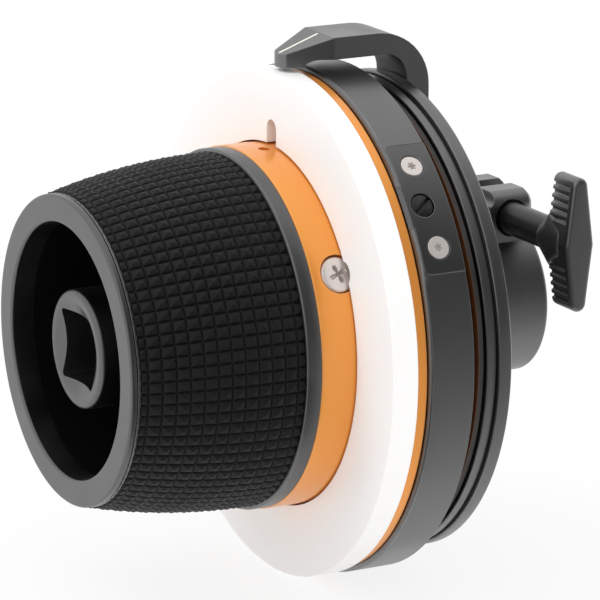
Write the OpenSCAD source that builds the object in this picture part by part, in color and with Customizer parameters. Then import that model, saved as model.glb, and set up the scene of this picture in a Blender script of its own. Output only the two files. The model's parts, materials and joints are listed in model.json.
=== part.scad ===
// Follow focus hand unit: a knurled hand knob with a removable marking disc, an adjustable
// stop ring and an index pointer, carried on a split rear hub that clamps to a spigot.
// Millimetres. The main axis is Y: the knob faces -Y and the rear hub faces +Y. +Z is up.
// The origin is the centre of the clamp bore in the rear face of the hub.

/* [Knob] */
// Diameter of the front bezel
bezel_d = 50.8; // [48:0.2:52]
// Thickness of the bezel's visible ring
bezel_t = 1.0; // [0.8:0.1:2]
// Diameter of the open cavity in the knob
cavity_d = 41.8; // [36:0.2:42]
// Depth of the open cavity, from the bezel's face
cavity_depth = 22.1; // [16:0.1:24]
// Diameter of the grip's tips at its front edge
grip_front_d = 51.4; // [51:0.2:54]
// Diameter of the grip's tips at its rear edge
grip_rear_d = 58.6; // [57:0.2:59.2]
// Length of the rubber grip
grip_len = 26.9; // [24:0.1:36]
// Axial pitch of the grip's pattern
grip_pitch = 2.23; // [1.6:0.01:3]
// Depth of the grip's grooves
grip_groove = 0.5; // [0.2:0.05:0.8]
// Thickness of the rubber sleeve
grip_wall = 2.2; // [1.4:0.1:2.6]
// Length of the plain collar behind the grip
collar_len = 2.6; // [1.6:0.1:5]
// Diameter of the plain collar
collar_d = 59.6; // [58:0.2:59.8]

/* [Square socket] */
// Diameter of the socket boss in the middle of the knob
boss_d = 19.5; // [18:0.1:22]
// Distance of the boss's face behind the bezel's face
boss_recess = 2.1; // [0:0.1:4]
// Width across the flats of the square socket
socket_w = 11.4; // [8:0.1:11.6]
// Depth of the square socket
socket_depth = 14.0; // [8:0.1:14.4]
// Diameter of the socket's lead-in cone
socket_lead_d = 16.2; // [15:0.1:16.8]

/* [Drum and marking disc] */
// Diameter of the drum's front cylinder
drum_d = 60.0; // [60:0.1:62]
// Length of drum in front of the marking disc
drum_front_len = 6.0; // [5.6:0.1:12]
// Diameter of the drum's flange behind the disc
drum_flange_d = 83.2; // [80:0.2:84]
// Thickness of the drum's flange
drum_flange_t = 1.75; // [1.2:0.05:3]
// Diameter of the drum's rear land, which carries the stop ring
land_d = 75.6; // [72:0.2:78]
// Length of the drum's rear land
land_len = 10.6; // [10:0.1:14]
// Outer diameter of the marking disc
disc_d = 84.3; // [78:0.1:84.6]
// Thickness of the marking disc
disc_t = 4.53; // [4.4:0.01:7]
// Width of the disc's key slot
key_slot_w = 3.3; // [2:0.1:5]
// Depth of the disc's key slot into its bore
key_slot_depth = 4.1; // [2:0.1:8]
// Diameter of the drum screws' heads
drum_screw_head_d = 6.0; // [5:0.1:6.2]

/* [Stop ring] */
// Outer diameter of the stop ring
stop_d = 84.8; // [82:0.2:85.2]
// Length of the stop ring
stop_len = 8.0; // [7:0.05:8.2]
// Angle that the bridge plate spans, in degrees
plate_span = 30.6; // [26:0.2:36]
// Clock angle of the bridge plate's middle, in degrees
plate_clock = 37.8; // [0:0.1:75]
// Width of the plate's front tab
plate_tab_w = 7.2; // [5:0.1:9]
// Diameter of the countersunk plate screws' heads
plate_screw_head_d = 3.7; // [3:0.1:3.8]
// Diameter of the slotted set screw
set_screw_d = 4.0; // [3:0.1:4.2]

/* [Index ring and pointer] */
// Diameter of the housing's flange
flange_d = 79.2; // [78:0.2:82]
// Thickness of the housing's flange
flange_t = 1.3; // [1:0.05:3]
// Width of the groove between the flange and the index ring
flange_groove_w = 0.6; // [0.3:0.05:1.2]
// Outer diameter of the index ring
index_d = 80.0; // [78:0.2:82]
// Thickness of the index ring
index_t = 2.45; // [1.8:0.05:4]
// Width of the pointer arm
arm_w = 10.3; // [9:0.1:14]
// Thickness of the pointer arm above the stop ring
arm_t = 3.6; // [2.4:0.1:6]
// Width of the pointer's tip
tip_w = 4.46; // [2:0.1:6]
// Clearance between the pointer's tip and the marking disc's edge
tip_gap = 0.63; // [0.4:0.05:1.5]
// Width of the index line
line_w = 0.55; // [0.3:0.05:1.2]

/* [Rear hub clamp] */
// Length of the rear hub, from the housing to its rear face
hub_len = 22.65; // [21:0.05:32]
// Outer diameter of the rear hub
hub_d = 26.8; // [25.6:0.2:28]
// Diameter of the clamp bore
clamp_bore_d = 19.0; // [16:0.1:19.4]
// Length of the clamp bore
clamp_bore_len = 16.0; // [13:0.1:16.2]
// Width of the clamp's slit
slit_w = 4.0; // [1.5:0.1:4.4]
// Height of the clamp screw above the main axis
clamp_screw_z = 14.8; // [13.8:0.1:17]
// Reach of each ear from the middle plane
ear_reach = 8.0; // [7:0.1:10]
// Length of the ears along the main axis
ear_len = 8.4; // [8:0.1:12]
// Height of the ears above the clamp screw
ear_rise = 4.4; // [4.2:0.1:6]

/* [Clamp handle] */
// Diameter of the handle's shank
shank_d = 5.5; // [5:0.1:6]
// Distance of the handle's end face from the middle plane
handle_end_x = 29.7; // [24:0.1:45]
// Length of the T-bar
tbar_len = 22.3; // [17:0.1:26]
// Width of the T-bar at its middle
tbar_w = 5.3; // [4.8:0.1:8]
// Width of the T-bar at its ends
tbar_end_w = 2.8; // [2:0.1:5]
// Depth of the T-bar along its shank
tbar_depth = 6.6; // [5:0.1:10]
// Pitch of the T-bar's grip grooves
tbar_pitch = 1.37; // [1.2:0.01:2.5]

/* [Spindle and bearings] */
// Diameter of the spindle, which is the bearings' bore
spindle_d = 12.0; // [11:0.1:12.4]
// Outer diameter of the bearings
bearing_d = 21.0; // [20.6:0.1:22]
// Width of a bearing
bearing_w = 5.0; // [4:0.1:5.2]
// Number of balls in a bearing
ball_count = 13; // [9:1:15]
// Width across the flats of the rear drive socket
drive_w = 6.4; // [5:0.1:6.6]
// Depth of the rear drive socket
drive_depth = 8.0; // [5:0.1:8]

/* [Fits] */
// Radial clearance of a part that turns or slides on another
run_fit = 0.06; // [0.03:0.01:0.1]
// Radial clearance between parts that are fixed together
seat_fit = 0.02; // [0.01:0.01:0.05]
// Axial clearance beside a turning part
side_gap = 0.2; // [0.1:0.05:0.4]

/* [Hidden] */
$fn = 96;
eps = 0.01;
bore_cut = 1;

// Stations along Y, from the rear face of the hub forwards
y_hub_rear = 0;
y_hub_seat = y_hub_rear - hub_len;
y_index_rear = y_hub_seat - side_gap;
y_index_front = y_index_rear - index_t;
y_step_rear = y_index_front - side_gap / 2;
y_flange_rear = y_step_rear - flange_groove_w;
y_flange_front = y_flange_rear - flange_t;
seal_t = 1.2;
y_seal_front = y_flange_front - seal_t;
y_drum_rear = y_seal_front - side_gap;
y_land_front = y_drum_rear - land_len;
y_disc_rear = y_land_front - drum_flange_t;
y_disc_front = y_disc_rear - disc_t;
y_drum_front = y_disc_front - drum_front_len;
y_collar_front = y_drum_front - collar_len;
y_lip_rear = y_collar_front - grip_len;
lip_t = 0.4;
y_lip_front = y_lip_rear - lip_t;
y_bezel_rear = y_lip_front - side_gap;
y_bezel_front = y_bezel_rear - bezel_t;
y_boss_front = y_bezel_front + boss_recess;
y_cavity_floor = y_bezel_front + cavity_depth;
y_bore_floor = y_hub_rear - clamp_bore_len;

// Knob
liner_t = 1.1;
liner_r = cavity_d / 2 + liner_t;
web_t = 4;
y_web_front = y_cavity_floor + liner_t;
y_web_rear = y_web_front + web_t;
bezel_spigot_len = 3;
y_liner_front = y_bezel_rear + bezel_spigot_len;
grip_front_r = grip_front_d / 2;
grip_rear_r = grip_rear_d / 2;
core_front_r = grip_front_r - grip_wall;
core_rear_r = grip_rear_r - grip_wall;
spigot_wall = 4;
drum_wall = 4.05;
spigot_r = drum_d / 2 - drum_wall - seat_fit;
spigot_bore_r = spigot_r - spigot_wall - 1;
y_boss_counterbore = y_web_front - 3.2;
y_socket_floor = y_boss_front + socket_depth;
spindle_r = spindle_d / 2;

// Drum
drum_screw_y = y_disc_front - 1.2;
drum_screw_clocks = [29, 149, 269];
drum_screw_head_t = 1.9;
drum_screw_r = 1.5;
y_spigot_rear = drum_screw_y + drum_screw_head_d / 2 + 0.2;
y_drum_web = y_spigot_rear + side_gap;
disc_bore_r = drum_d / 2 + 0.3;
oring_r = 0.55;
oring_groove = 0.9;
oring_side = 0.05;
y_oring = y_disc_rear - 0.75 - oring_r;
oring_pitch_r = disc_bore_r - oring_side - oring_r;
drum_hub_r = 8.6;
y_drum_hub = y_land_front + 3.5;
y_drive_pin = y_drum_hub - 2.2;
drive_pin_r = 1.5;
land_wall = 3;
circlip_t = 0.8;
circlip_side = 0.05;

// Stop ring: held between the drum's flange and its circlip
y_stop_front = y_land_front + side_gap;
y_stop_rear = y_stop_front + stop_len;
y_stop_circlip = y_stop_rear + side_gap;
stop_chamfer = 0.55;
plate_t = 2.15;
plate_over = 0.1;
plate_x = stop_d / 2 * sin(plate_span / 2);
plate_corner_r = 1.3;
plate_step = 0.75;
plate_screw_clock = 9.7;
y_plate_screws = y_stop_front + 4.1;
y_set_screw = y_stop_front + 3.3;
set_screw_top_r = stop_d / 2 - 0.12;
set_screw_edge = 0.2;
set_screw_slot_clock = -53;
set_screw_slot_w = 0.56;
set_screw_slot_depth = 0.7;
brake_pad_t = 0.9;
brake_pad_base_r = land_d / 2 + run_fit;
set_screw_base_r = brake_pad_base_r + brake_pad_t + 0.1;

// Bearings: 61801 proportions, one each side of the housing's inner shoulder
bearing_r = bearing_d / 2;
shim_t = 0.6;
y_bearing_front = y_drum_hub + shim_t;
y_bearing_rear = y_hub_seat - 0.3 - bearing_w;
race_gap = 1.5;
ball_r = 1.0;
ball_pitch_r = (spindle_r + bearing_r) / 2;
inner_race_r = ball_pitch_r - race_gap / 2;
outer_race_r = ball_pitch_r + race_gap / 2;
housing_tube_r = bearing_r + 3;
y_housing_tube = y_bearing_front - 0.2;
shoulder_r = outer_race_r + 0.2;
y_spindle_clip = y_bearing_rear + bearing_w + 0.1;

// Index ring and hub base
index_bore_r = 30.06;
index_spigot_r = index_bore_r - run_fit;
flange_groove_depth = 0.35;
step_r = flange_d / 2 - flange_groove_depth;
hub_base_r = index_bore_r + 3.34;
hub_base_t = 2.05;
hub_screw_pcr = 20;
hub_screw_r = 1.25;
hub_screw_head_r = 2.3;
hub_screw_head_t = 1.5;
hub_screw_clocks = [0, 90, 180, 270];

// Pointer: a post behind the index ring and an arm over the stop ring
y_post_front = y_index_rear;
post_t = 4.1;
y_post_rear = y_post_front + post_t;
post_base_z = hub_base_r + 0.6;
arm_z = stop_d / 2 + 1.73;
arm_top_z = arm_z + arm_t;
tip_z = disc_d / 2 + tip_gap;
tip_t = 2.14;
y_tip = y_disc_front + 1.47;
y_crease = y_disc_front + 9.33;
y_notch_front = y_disc_rear + 0.3;
y_notch_rear = y_stop_front + 0.9;
y_bend = y_post_front - 5.45;
bend_drop = 9.2;
inner_bend_y = 3.8;
inner_bend_z = 4.4;
line_depth = 0.3;
pointer_screw_x = 2.6;
pointer_screw_z = post_base_z + 3;
pointer_screw_r = 1.25;
pointer_screw_head_r = 2.2;
pointer_screw_head_t = 1.4;

// Clamp ears, screw and handle
y_clamp_screw = y_hub_rear - ear_len / 2;
ear_top_z = clamp_screw_z + ear_rise;
ear_root_z = clamp_bore_d / 2 + 0.1;
ear_corner_r = 2.6;
ear_edge = 0.9;
notch_r = 1.85;
relief_w = 1;
thread_r = 2.0;
bush_r = 2.9;
bush_len = 4.6;
bush_flange_r = 3.5;
bush_flange_t = 0.8;
shank_r = shank_d / 2;
shank_seat_r = shank_r + 0.35;
shank_seat = 1.6;
washer_t = 0.4;
tbar_base_x = handle_end_x - tbar_depth;
tbar_cap_t = 1.2;
tbar_groove_r = 0.42;
tbar_groove_count = 5;
tbar_groove_z = 3.95;
gusset_len = 2.3;
gusset_z = 5;

// ---- Helpers ----

// Revolves a list of [station, radius] points about the main axis
module turned(points) {
    rotate([-90, 0, 0]) rotate_extrude() polygon([for (p = points) [p[1], p[0]]]);
}

// A tube about the main axis from y0 to y1; a solid rod when r_in is 0
module tube(y0, y1, r_out, r_in = 0) {
    turned([[y0, r_in], [y0, r_out], [y1, r_out], [y1, r_in]]);
}

// Puts children at station y with their +Z pointing outwards at a clock angle
module radial(clock, y) {
    translate([0, y, 0]) rotate([0, 90 - clock, 0]) children();
}

// Repeats children round the main axis, as drawn at clock angle 0 with +X outwards
module around(clocks) {
    for (c = clocks) rotate([0, -c, 0]) children();
}

// A torus about the main axis
module o_ring(y, ring_r, cord_r) {
    translate([0, y, 0]) rotate([-90, 0, 0]) rotate_extrude() translate([ring_r, 0]) circle(cord_r, $fn = 32);
}

// Points of an arc from angle a0 to a1 with centre c and radii rx, ry
function arc(c, rx, ry, a0, a1, n = 8) =
    [for (i = [0:n]) let (a = a0 + (a1 - a0) * i / n) [c[0] + rx * cos(a), c[1] + ry * sin(a)]];

// Outline of a square with rounded corners
function rounded_square(w, r) = concat(
    arc([w / 2 - r, w / 2 - r], r, r, 0, 90, 4), arc([r - w / 2, w / 2 - r], r, r, 90, 180, 4),
    arc([r - w / 2, r - w / 2], r, r, 180, 270, 4), arc([w / 2 - r, r - w / 2], r, r, 270, 360, 4));

// A square hole about the main axis from y0 to y1
module square_hole(y0, y1, w, r) {
    translate([0, y0, 0]) rotate([-90, 0, 0]) linear_extrude(y1 - y0) polygon(rounded_square(w, r));
}

// Radius of the grip's tips at a distance u in front of its rear edge
function grip_r(u) = grip_rear_r - (grip_rear_r - grip_front_r) * pow(u / grip_len, 2);

// Extrudes an outline drawn in (Y, Z) to a width centred on X = 0
module side_profile(points, width) {
    translate([-width / 2, 0, 0]) rotate([90, 0, 90]) linear_extrude(width) polygon(points);
}

// Extrudes an outline drawn in (Y, Z) from x0 to x1
module side_slab(points, x0, x1) {
    translate([x0, 0, 0]) rotate([90, 0, 90]) linear_extrude(x1 - x0) polygon(points);
}

// A retaining ring with its gap at the bottom
module circlip(y, r_in, r_out, gap) {
    difference() {
        tube(y, y + circlip_t, r_out, r_in);
        translate([-gap / 2, y - bore_cut, -r_out - bore_cut]) cube([gap, circlip_t + 2 * bore_cut, r_out]);
    }
}

// Ball bearing pieces from station y, with the ball track in their middle
module race(y, r_out, r_in) {
    difference() {
        tube(y, y + bearing_w, r_out, r_in);
        o_ring(y + bearing_w / 2, ball_pitch_r, ball_r + run_fit);
    }
}

module ball_set(y) {
    around([for (i = [0:ball_count - 1]) i * 360 / ball_count])
        translate([ball_pitch_r, y + bearing_w / 2, 0]) sphere(ball_r, $fn = 32);
}

// ---- Hand knob ----

module front_bezel() {
    edge = 0.45;
    r_in = cavity_d / 2;
    r_out = bezel_d / 2;
    color("dimgray") turned(concat(
        [[y_liner_front, r_in]],
        arc([y_bezel_front + edge, r_in + edge], edge, edge, 270, 180, 5),
        arc([y_bezel_front + edge, r_out - edge], edge, edge, 180, 90, 5),
        [[y_bezel_rear, r_out], [y_bezel_rear, liner_r], [y_liner_front, liner_r]]));
}

module cavity_liner() {
    hole_r = boss_d / 2 + 0.1;
    color("black") turned([
        [y_liner_front, cavity_d / 2], [y_liner_front, liner_r], [y_web_front, liner_r],
        [y_web_front, hole_r], [y_cavity_floor, hole_r], [y_cavity_floor, cavity_d / 2]]);
}

module socket_boss() {
    edge = 0.8;
    lead = (socket_lead_d - socket_w) / 2;
    color("dimgray") difference() {
        turned(concat([[y_boss_front, 0]],
            arc([y_boss_front + edge, boss_d / 2 - edge], edge, edge, 180, 90, 6),
            [[y_web_front, boss_d / 2], [y_web_front, 0]]));
        square_hole(y_boss_front - bore_cut, y_socket_floor, socket_w, 0.8);
        turned([[y_boss_front - eps, 0], [y_boss_front - eps, socket_lead_d / 2],
                [y_boss_front + lead * 0.42, socket_w / 2], [y_boss_front + lead * 0.42, 0]]);
        tube(y_socket_floor - bore_cut, y_web_front, 3.1);
        tube(y_boss_counterbore, y_web_front + bore_cut, spindle_r + seat_fit);
    }
}

module knob_core() {
    color("dimgray") difference() {
        turned([
            [y_lip_front, liner_r + seat_fit], [y_lip_front, bezel_d / 2], [y_lip_rear, bezel_d / 2],
            [y_lip_rear, core_front_r], [y_collar_front, core_rear_r], [y_drum_front, core_rear_r],
            [y_drum_front, spigot_r], [y_spigot_rear, spigot_r], [y_spigot_rear, spigot_bore_r],
            [y_web_rear, spigot_bore_r], [y_web_rear, spindle_r + seat_fit],
            [y_web_front, spindle_r + seat_fit], [y_web_front, liner_r + seat_fit]]);
        for (c = drum_screw_clocks) radial(c, drum_screw_y)
            translate([0, 0, spigot_bore_r - bore_cut]) cylinder(r = drum_screw_r + seat_fit, h = spigot_wall * 2);
    }
}

module rubber_grip() {
    count = floor(grip_len / grip_pitch);
    rest = grip_len - count * grip_pitch;
    tips = [for (i = [0:count - 1], k = [0:2])
        let (u = grip_pitch * (i + [0.08, 0.5, 0.92][k]))
        [y_collar_front - u, grip_r(u) - (k == 1 ? 0 : grip_groove)]];
    color("#262626") turned(concat(
        [[y_collar_front, core_rear_r + seat_fit], [y_collar_front, grip_rear_r - grip_groove]],
        tips,
        [[y_lip_rear + rest / 2, grip_front_r], [y_lip_rear, grip_front_r - grip_groove],
         [y_lip_rear, core_front_r + seat_fit]]));
}

module collar() {
    edge = 0.35;
    color("#505050") turned([
        [y_collar_front, core_rear_r + seat_fit], [y_collar_front, collar_d / 2 - edge],
        [y_collar_front + edge, collar_d / 2], [y_drum_front, collar_d / 2],
        [y_drum_front, core_rear_r + seat_fit]]);
}

// ---- Drum ----

module drum() {
    edge = 0.2;
    r_land = land_d / 2;
    r_front = drum_d / 2;
    color("#e8943c") difference() {
        turned([
            [y_drum_front, spigot_r + seat_fit], [y_drum_front, r_front - edge],
            [y_drum_front + edge, r_front], [y_oring - oring_r - oring_side, r_front],
            [y_oring - oring_r - oring_side, r_front - oring_groove],
            [y_oring + oring_r + oring_side, r_front - oring_groove],
            [y_oring + oring_r + oring_side, r_front], [y_disc_rear, r_front],
            [y_disc_rear, drum_flange_d / 2], [y_land_front, drum_flange_d / 2],
            [y_land_front, r_land], [y_stop_circlip - circlip_side, r_land],
            [y_stop_circlip - circlip_side, r_land - 1],
            [y_stop_circlip + circlip_t + circlip_side, r_land - 1],
            [y_stop_circlip + circlip_t + circlip_side, r_land], [y_drum_rear, r_land],
            [y_drum_rear, r_land - land_wall], [y_land_front, r_land - land_wall],
            [y_land_front, drum_hub_r], [y_drum_hub, drum_hub_r],
            [y_drum_hub, spindle_r + seat_fit], [y_drum_web, spindle_r + seat_fit],
            [y_drum_web, spigot_r + seat_fit]]);
        for (c = drum_screw_clocks) radial(c, drum_screw_y) {
            translate([0, 0, spigot_r - bore_cut]) cylinder(r = drum_screw_r + 0.05, h = drum_wall * 2);
            translate([0, 0, r_front - drum_screw_head_t - 0.15])
                cylinder(r = drum_screw_head_d / 2 + 0.2, h = drum_wall);
        }
        // locating hole beside the disc's key slot
        radial(86.5, y_disc_front - 1.8) translate([0, 0, r_front - 1.4]) cylinder(r = 1, h = drum_wall);
        radial(90, y_drive_pin) translate([0, 0, -drum_hub_r - bore_cut])
            cylinder(r = drive_pin_r + seat_fit, h = 2 * (drum_hub_r + bore_cut));
    }
}

module drum_screws() {
    top_r = drum_d / 2 - 0.12;
    color("silver") for (c = drum_screw_clocks) radial(c, drum_screw_y) difference() {
        union() {
            translate([0, 0, top_r - drum_screw_head_t]) cylinder(r = drum_screw_head_d / 2, h = drum_screw_head_t - 0.3);
            translate([0, 0, top_r - 0.3])
                cylinder(r1 = drum_screw_head_d / 2, r2 = drum_screw_head_d / 2 - 0.5, h = 0.3);
            translate([0, 0, spigot_bore_r + 0.3])
                cylinder(r = drum_screw_r, h = top_r - drum_screw_head_t - spigot_bore_r);
        }
        for (a = [0, 90]) rotate([0, 0, a + 20]) translate([-1.75, -0.42, top_r - 1.1]) cube([3.5, 0.84, 2]);
    }
}

module disc_o_ring() {
    color("black") o_ring(y_oring, oring_pitch_r, oring_r);
}

module stop_circlip() {
    color("silver") circlip(y_stop_circlip, land_d / 2 - 0.95, land_d / 2 + 1.4, 6);
}

// ---- Spindle and what turns with it ----

module spindle() {
    color("silver") difference() {
        turned([
            [y_boss_counterbore + eps, 0], [y_boss_counterbore + eps, spindle_r],
            [y_spindle_clip - circlip_side, spindle_r],
            [y_spindle_clip - circlip_side, spindle_r - 0.4],
            [y_spindle_clip + circlip_t + circlip_side, spindle_r - 0.4],
            [y_spindle_clip + circlip_t + circlip_side, spindle_r],
            [y_bore_floor - side_gap, spindle_r], [y_bore_floor - side_gap, 0]]);
        tube(y_boss_counterbore - bore_cut, y_boss_counterbore + 13, 2.5 + seat_fit);
        square_hole(y_bore_floor - side_gap - drive_depth, y_bore_floor + bore_cut, drive_w, 0.5);
        radial(90, y_drive_pin) translate([0, 0, -spindle_d / 2 - bore_cut])
            cylinder(r = drive_pin_r + seat_fit, h = spindle_d + 2 * bore_cut);
    }
}

module spindle_bolt() {
    color("silver") difference() {
        union() {
            tube(y_socket_floor - 3.2, y_socket_floor, 4.3);
            tube(y_socket_floor - eps, y_boss_counterbore + 12, 2.5);
        }
        translate([0, y_socket_floor - 3.2 - bore_cut, 0]) rotate([-90, 0, 0]) cylinder(r = 2.31, h = bore_cut + 2.2, $fn = 6);
    }
}

module drive_pin() {
    color("silver") radial(90, y_drive_pin) translate([0, 0, -drum_hub_r]) cylinder(r = drive_pin_r, h = 2 * drum_hub_r);
}

module drum_shim() {
    color("silver") tube(y_drum_hub, y_bearing_front, inner_race_r - 0.1, spindle_r + seat_fit);
}

module bearing_spacer() {
    color("silver") tube(y_bearing_front + bearing_w, y_bearing_rear, inner_race_r - 0.1, spindle_r + seat_fit);
}

module spindle_circlip() {
    color("silver") circlip(y_spindle_clip, spindle_r - 0.35, spindle_r + 1.8, 3);
}

module front_inner_race() {
    color("silver") race(y_bearing_front, inner_race_r, spindle_r + seat_fit);
}

module rear_inner_race() {
    color("silver") race(y_bearing_rear, inner_race_r, spindle_r + seat_fit);
}

// ---- Marking disc ----

module marking_disc() {
    edge = 0.2;
    r_bore = disc_bore_r;
    r_out = disc_d / 2;
    key_clock = 88.5;
    color("white") difference() {
        turned([
            [y_disc_front, r_bore], [y_disc_front, r_out - edge], [y_disc_front + edge, r_out],
            [y_disc_rear - edge, r_out], [y_disc_rear, r_out - edge], [y_disc_rear, r_bore]]);
        around([key_clock]) {
            translate([r_bore - 2, y_disc_front - bore_cut, -key_slot_w / 2])
                cube([2 + key_slot_depth - key_slot_w / 2, disc_t + 2 * bore_cut, key_slot_w]);
            translate([r_bore + key_slot_depth - key_slot_w / 2, y_disc_front - bore_cut, 0])
                rotate([-90, 0, 0]) cylinder(r = key_slot_w / 2, h = disc_t + 2 * bore_cut);
        }
        // driver relief beside each drum screw
        around(drum_screw_clocks) translate([r_bore - 0.7, y_disc_front - bore_cut, 0])
            rotate([-90, 0, 0]) cylinder(r = 1.9, h = disc_t + 2 * bore_cut);
    }
}

// ---- Stop ring ----

// Outer surface shared by the stop ring and its bridge plate
module stop_envelope(y_rear, r_in) {
    r_out = stop_d / 2;
    turned([
        [y_stop_front, r_in], [y_stop_front, r_out - stop_chamfer],
        [y_stop_front + stop_chamfer, r_out], [y_rear - 0.2, r_out],
        [y_rear, r_out - 0.2], [y_rear, r_in]]);
}

// The T-shaped outline of the bridge plate, grown by g, from r_in outwards
module plate_prism(g, r_in) {
    x = plate_x + g;
    y_wing = y_stop_front + plate_step - g;
    c = plate_corner_r;
    outline = concat(
        [[x, y_stop_rear + plate_over + bore_cut], [-x, y_stop_rear + plate_over + bore_cut]],
        arc([c - x, y_wing + c], c, c, 180, 270, 5),
        [[-plate_tab_w / 2 - g, y_wing], [-plate_tab_w / 2 - g, y_stop_front - bore_cut],
         [plate_tab_w / 2 + g, y_stop_front - bore_cut], [plate_tab_w / 2 + g, y_wing]],
        arc([x - c, y_wing + c], c, c, 270, 360, 5));
    difference() {
        radial(plate_clock, 0) translate([0, 0, stop_d / 4]) linear_extrude(stop_d / 2) polygon(outline);
        tube(y_stop_front - bore_cut, y_stop_rear + 2 * bore_cut, r_in);
    }
}

// Holes for the bridge plate's screws and for the set screw
module stop_screw_holes() {
    for (s = [-1, 1]) radial(plate_clock + s * plate_screw_clock, y_plate_screws) {
        translate([0, 0, land_d / 2 + 1]) cylinder(r = 1 + seat_fit, h = stop_d);
        translate([0, 0, stop_d / 2 - 1.1])
            cylinder(r1 = 1, r2 = plate_screw_head_d / 2 + 0.12, h = 0.95);
        translate([0, 0, stop_d / 2 - 0.15 - eps]) cylinder(r = plate_screw_head_d / 2 + 0.12, h = 2);
    }
    radial(plate_clock, y_set_screw) cylinder(r = set_screw_d / 2 + run_fit, h = stop_d);
}

module stop_ring() {
    color("#3c3c3c") difference() {
        stop_envelope(y_stop_rear, land_d / 2 + run_fit);
        plate_prism(0.04, stop_d / 2 - plate_t - seat_fit);
        stop_screw_holes();
    }
}

module bridge_plate() {
    color("#484848") difference() {
        intersection() {
            stop_envelope(y_stop_rear + plate_over, stop_d / 2 - plate_t);
            plate_prism(0, stop_d / 2 - plate_t - 1);
        }
        stop_screw_holes();
    }
}

module bridge_screws() {
    top_r = stop_d / 2 - 0.08;
    color("gainsboro") for (s = [-1, 1]) radial(plate_clock + s * plate_screw_clock, y_plate_screws)
        difference() {
            union() {
                translate([0, 0, top_r - 0.12]) cylinder(r = plate_screw_head_d / 2, h = 0.12);
                translate([0, 0, top_r - 0.92]) cylinder(r1 = 1, r2 = plate_screw_head_d / 2, h = 0.8);
                translate([0, 0, land_d / 2 + 1.2]) cylinder(r = 1, h = stop_d / 2 - land_d / 2 - 2);
            }
            for (a = [0, 60, 120]) rotate([0, 0, a]) translate([-0.8, -0.22, top_r - 0.6]) cube([1.6, 0.44, 1]);
        }
}

module brake_pad() {
    color("ivory") radial(plate_clock, y_set_screw) translate([0, 0, brake_pad_base_r])
        cylinder(r = set_screw_d / 2, h = brake_pad_t);
}

module set_screw() {
    color("#4a4a4a") radial(plate_clock, y_set_screw) difference() {
        union() {
            translate([0, 0, set_screw_base_r])
                cylinder(r = set_screw_d / 2, h = set_screw_top_r - set_screw_edge - set_screw_base_r);
            translate([0, 0, set_screw_top_r - set_screw_edge])
                cylinder(r1 = set_screw_d / 2, r2 = set_screw_d / 2 - set_screw_edge, h = set_screw_edge);
        }
        rotate([0, 0, set_screw_slot_clock])
            translate([-set_screw_d, -set_screw_slot_w / 2, set_screw_top_r - set_screw_slot_depth])
            cube([2 * set_screw_d, set_screw_slot_w, 2]);
    }
}

// ---- Index ring and pointer ----

module index_ring() {
    edge = 0.3;
    r_out = index_d / 2;
    color("#424242") difference() {
        turned([
            [y_index_front, index_bore_r], [y_index_front, r_out - edge], [y_index_front + edge, r_out],
            [y_index_rear - edge, r_out], [y_index_rear, r_out - edge], [y_index_rear, index_bore_r]]);
        for (s = [-1, 1]) translate([s * pointer_screw_x, y_index_rear - 1.7, pointer_screw_z])
            rotate([-90, 0, 0]) cylinder(r = pointer_screw_r + seat_fit, h = 4);
    }
}

// Side outline of the pointer, from its tip over the stop ring down to its post
arm_outline = concat(
    [[y_tip, tip_z], [y_tip, tip_z + tip_t], [y_crease, arm_top_z], [y_bend, arm_top_z]],
    arc([y_bend, arm_top_z - bend_drop], y_post_rear - y_bend, bend_drop, 90, 0, 12),
    [[y_post_rear, post_base_z], [y_post_front, post_base_z]],
    arc([y_post_front - inner_bend_y, arm_z - inner_bend_z], inner_bend_y, inner_bend_z, 0, 90, 8),
    arc([y_notch_rear, tip_z + 0.05], y_notch_rear - y_notch_front, arm_z - tip_z - 0.05, 90, 180, 6),
    [[y_notch_front - 0.1, tip_z]]);

// Plan outline of the pointer: tapered and rounded at its tip
arm_plan = concat(
    [[arm_w / 2, y_post_rear + 1], [arm_w / 2, y_crease]],
    [for (a = [10:20:170]) [tip_w / 2 * cos(a), y_tip + 1.2 - 1.2 * sin(a)]],
    [[-arm_w / 2, y_crease], [-arm_w / 2, y_post_rear + 1]]);

// Slope of the pointer's wedge
wedge_slope = atan2(arm_top_z - tip_z - tip_t, y_crease - y_tip);
wedge_len = (y_crease - y_tip) / cos(wedge_slope);

// The index line's strip: drawn along the wedge's top face
module line_strip(w, length, depth, rise) {
    translate([-w / 2, y_tip, tip_z + tip_t]) rotate([wedge_slope, 0, 0])
        translate([0, (wedge_len - length) / 2, -depth]) cube([w, length, depth + rise]);
}

module pointer_arm() {
    color("#3c3c3c") difference() {
        intersection() {
            side_profile(arm_outline, arm_w);
            translate([0, 0, post_base_z - 1]) linear_extrude(arm_top_z) polygon(arm_plan);
        }
        line_strip(line_w + 0.04, wedge_len - 0.8, line_depth + 0.02, 1);
        for (s = [-1, 1]) translate([s * pointer_screw_x, 0, pointer_screw_z]) {
            translate([0, y_post_front - bore_cut, 0]) rotate([-90, 0, 0])
                cylinder(r = pointer_screw_r + 0.05, h = post_t + 2 * bore_cut);
            translate([0, y_post_rear - pointer_screw_head_t - 0.1, 0]) rotate([-90, 0, 0])
                cylinder(r = pointer_screw_head_r + 0.1, h = post_t);
        }
    }
}

module index_line() {
    color("white") line_strip(line_w, wedge_len - 0.84, line_depth, 0.03);
}

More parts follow.
